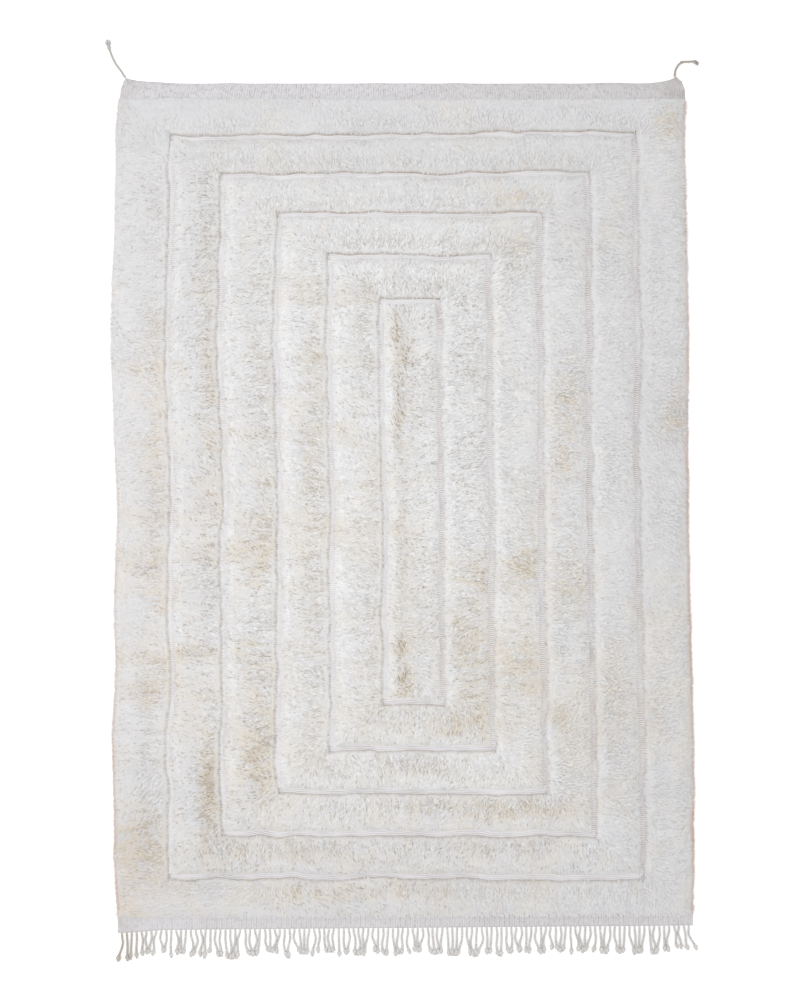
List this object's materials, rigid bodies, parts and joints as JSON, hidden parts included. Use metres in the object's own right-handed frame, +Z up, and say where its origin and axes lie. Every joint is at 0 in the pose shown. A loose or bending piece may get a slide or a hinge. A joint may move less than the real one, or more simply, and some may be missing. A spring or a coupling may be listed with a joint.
{
  "type": "mrirt rug",
  "caption": "Deep-pile off-white wool rug with nested rectangular flat-woven channels, a knotted fringe at one end and loose twisted cords at the corners of the other.",
  "frame": {"origin": "on the floor under the middle of the rug and its fringe, the corner cords left out", "axes": "+X across the rug, +Y along it from the fringed end to the plain end, +Z up through the pile"},
  "size_m": [2.0538, 3.1869, 0.0369],
  "materials": {
    "wool_pile": "off-white wool pile with cream patches, over a flat weave of the same wool",
    "warp_yarn": "greyish off-white twisted wool yarn"
  },
  "bodies": {
    "root": {"rug_body": "wool_pile", "fringe": "warp_yarn", "corner_cord_left": "warp_yarn", "corner_cord_right": "warp_yarn"}
  },
  "joints": []
}
